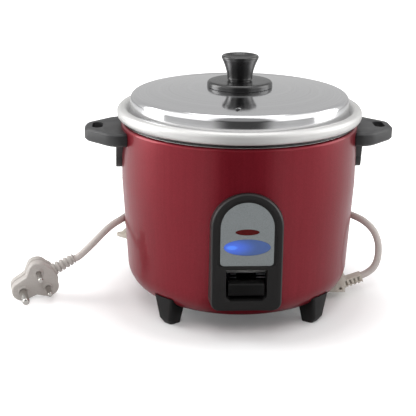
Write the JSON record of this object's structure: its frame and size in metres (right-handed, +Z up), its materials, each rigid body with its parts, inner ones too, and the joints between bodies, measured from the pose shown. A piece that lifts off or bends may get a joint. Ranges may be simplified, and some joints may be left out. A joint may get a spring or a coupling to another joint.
{
  "type": "rice cooker",
  "caption": "Round electric rice cooker: red steel body, lift-out pan with a loose lid, magnetic lever switch, two side handles and a mains lead.",
  "frame": {"origin": "on the body's vertical axis at the level of the feet's soles", "axes": "+Z up, -Y towards the front with the switch, +X towards the right-hand handle"},
  "size_m": [0.3684, 0.3267, 0.2401],
  "materials": {
    "shell_paint": "metallic red lacquer on steel",
    "black_plastic": "moulded phenolic, fine texture",
    "grey_plastic": "moulded dark grey plastic, fine texture",
    "stainless": "satin to mirror stainless steel",
    "pan_aluminium": "spun satin aluminium",
    "cast_aluminium": "cast and turned aluminium",
    "plated_steel": "zinc plated steel",
    "sheath_steel": "dull heater sheath",
    "silver_panel": "silver printed plate",
    "red_lens": "clear dark red lens",
    "blue_lens": "translucent blue lens, lit",
    "board": "circuit board laminate",
    "lamp_blue": "lamp",
    "lamp_red": "lamp",
    "switch_body": "moulded switch case",
    "ceramic_white": "white insulator",
    "magnet": "ferrite magnet",
    "spring_steel": "spring wire",
    "lead_pvc": "pale grey PVC",
    "plug_pvc": "pale grey moulded PVC",
    "brass_pins": "nickel plated brass",
    "tie": "soft plastic tie"
  },
  "bodies": {
    "cooker": {"outer_shell": "shell_paint", "body_ring": "black_plastic", "inner_liner": "plated_steel", "heating_plate": "cast_aluminium", "heater_element": "sheath_steel", "plate_posts": "plated_steel", "post_screws": "plated_steel", "bottom_plate": "plated_steel", "bottom_screws": "plated_steel", "foot_front_left": "black_plastic", "foot_front_right": "black_plastic", "foot_rear_left": "black_plastic", "foot_rear_right": "black_plastic", "foot_screws": "plated_steel", "handle_left": "grey_plastic", "handle_right": "grey_plastic", "handle_screws": "plated_steel", "panel_frame": "grey_plastic", "panel_screws": "plated_steel", "panel_plate": "silver_panel", "red_lens": "red_lens", "blue_lens": "blue_lens", "lamp_board": "board", "cooking_lamp": "lamp_blue", "warm_lamp": "lamp_red", "lever_bracket": "plated_steel", "pivot_pin": "plated_steel", "microswitch": "switch_body", "sensor_bracket": "plated_steel", "thermal_fuse": "ceramic_white", "warm_thermostat": "ceramic_white", "terminal_block": "ceramic_white", "cord_hook": "plug_pvc", "hook_screw": "plated_steel", "cord_gland": "plug_pvc", "gland_screw": "plated_steel", "cord_relief": "plug_pvc", "cord_inlet_run": "lead_pvc", "cord_coil": "lead_pvc", "cord_plug_run": "lead_pvc", "coil_tie": "tie", "plug_body": "plug_pvc", "plug_relief": "plug_pvc", "earth_pin": "brass_pins", "line_pins": "brass_pins"},
    "pan": {"inner_pan": "pan_aluminium"},
    "lid": {"lid_plate": "stainless", "knob_base": "black_plastic", "knob_grip": "black_plastic", "knob_screw": "plated_steel", "knob_washer": "plated_steel"},
    "lever": {"lever_bar": "plated_steel", "switch_paddle": "black_plastic"},
    "thermostat": {"sensor_cap": "cast_aluminium", "sensor_ferrite": "magnet", "sensor_spring": "spring_steel"},
    "magnet": {"magnet": "magnet", "magnet_rod": "plated_steel"}
  },
  "joints": [
    {"name": "pan_lift", "type": "slide", "parent": "cooker", "child": "pan", "axis": [0, 0, 1], "range_m": [0, 0.12]},
    {"name": "lid_lift", "type": "slide", "parent": "pan", "child": "lid", "axis": [0, 0, 1], "range_m": [0, 0.05]},
    {"name": "switch_lever", "type": "hinge", "parent": "cooker", "child": "lever", "pos_m": [0, -0.058, 0.05], "axis": [-1, 0, 0], "range_deg": [0, 6.5]},
    {"name": "magnet_drop", "type": "slide", "parent": "cooker", "child": "magnet", "axis": [0, 0, -1], "range_m": [0, 0.007]},
    {"name": "thermostat_press", "type": "slide", "parent": "cooker", "child": "thermostat", "axis": [0, 0, 1], "range_m": [-0.0015, 0], "stiffness_N_per_m": 500, "springref_m": 0.003, "deforming": ["sensor_spring"]}
  ],
  "couplings": [
    {"joint": "magnet_drop", "follows": "switch_lever", "m_per_rad": 0.058}
  ]
}
